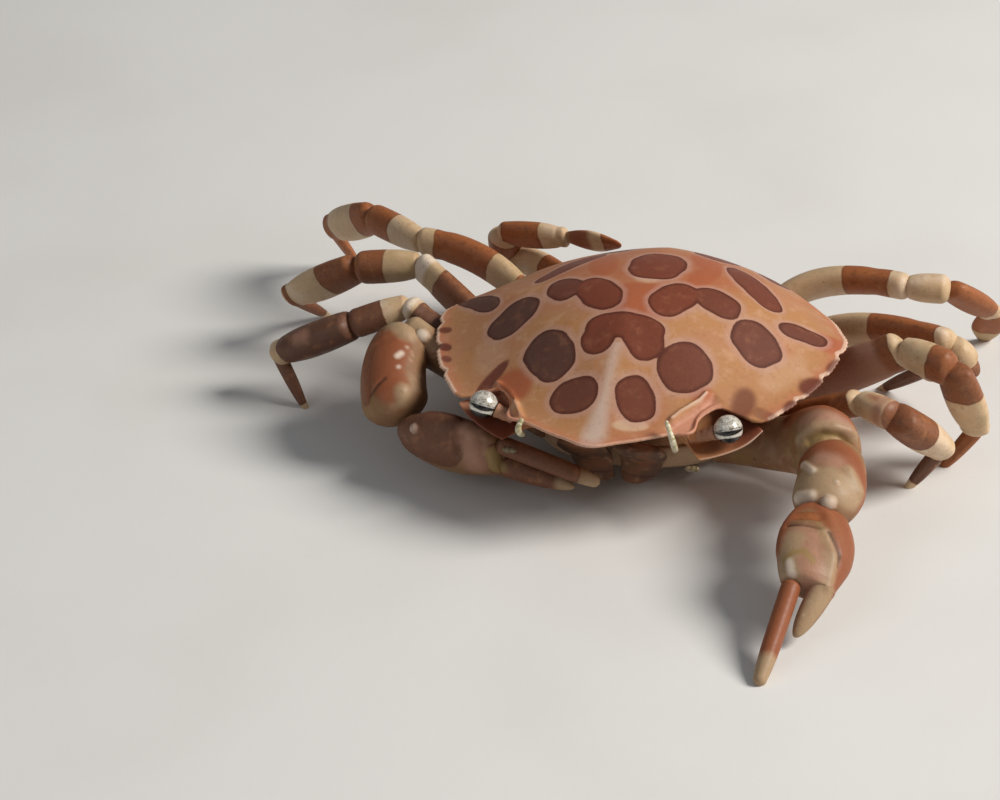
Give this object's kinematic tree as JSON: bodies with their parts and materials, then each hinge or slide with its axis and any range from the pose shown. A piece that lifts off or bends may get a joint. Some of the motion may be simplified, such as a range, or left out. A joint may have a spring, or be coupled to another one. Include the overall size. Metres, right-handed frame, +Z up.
{
  "type": "harlequin crab model",
  "caption": "Life-size still model of a spotted swimming crab with a domed round shell, banded legs, one claw stretched forward and one folded before the mouth.",
  "frame": {"origin": "the middle of the crab's outline, on the floor it stands on", "axes": "+Z up, -Y the way the crab faces, +X the crab's left side"},
  "size_m": [0.056, 0.0494, 0.0133],
  "materials": {
    "shell": "smooth wet shell, peach with maroon-brown spots",
    "underside": "smooth pale cream shell",
    "mouth": "smooth brown shell",
    "stalk": "smooth pinkish skin",
    "eye": "silvery white with dark bands",
    "feeler": "translucent greenish yellow",
    "claw": "smooth orange-brown shell with cream patches",
    "leg": "smooth shell banded cream and brown"
  },
  "bodies": {
    "root": {"carapace": "shell", "sternum": "underside", "abdomen": "underside", "maxilliped_left": "mouth", "maxilliped_right": "mouth", "eyestalk_left": "stalk", "eyestalk_right": "stalk", "eye_left": "eye", "eye_right": "eye", "antennule_left": "feeler", "antennule_right": "feeler", "antenna_left": "feeler", "antenna_right": "feeler", "claw_left_merus": "claw", "claw_left_carpus": "claw", "claw_left_palm": "claw", "claw_left_finger": "claw", "claw_right_merus": "claw", "claw_right_carpus": "claw", "claw_right_palm": "claw", "claw_right_finger": "claw", "leg2_left_merus": "leg", "leg2_left_carpus": "leg", "leg2_left_propodus": "leg", "leg2_left_dactyl": "leg", "leg3_left_merus": "leg", "leg3_left_carpus": "leg", "leg3_left_propodus": "leg", "leg3_left_dactyl": "leg", "leg4_left_merus": "leg", "leg4_left_carpus": "leg", "leg4_left_propodus": "leg", "leg4_left_dactyl": "leg", "leg5_left_merus": "leg", "leg5_left_carpus": "leg", "leg5_left_propodus": "leg", "leg5_left_dactyl": "leg", "leg2_right_merus": "leg", "leg2_right_carpus": "leg", "leg2_right_propodus": "leg", "leg2_right_dactyl": "leg", "leg3_right_merus": "leg", "leg3_right_carpus": "leg", "leg3_right_propodus": "leg", "leg3_right_dactyl": "leg", "leg4_right_merus": "leg", "leg4_right_carpus": "leg", "leg4_right_propodus": "leg", "leg4_right_dactyl": "leg", "leg5_right_merus": "leg", "leg5_right_carpus": "leg", "leg5_right_propodus": "leg", "leg5_right_dactyl": "leg"}
  },
  "joints": []
}
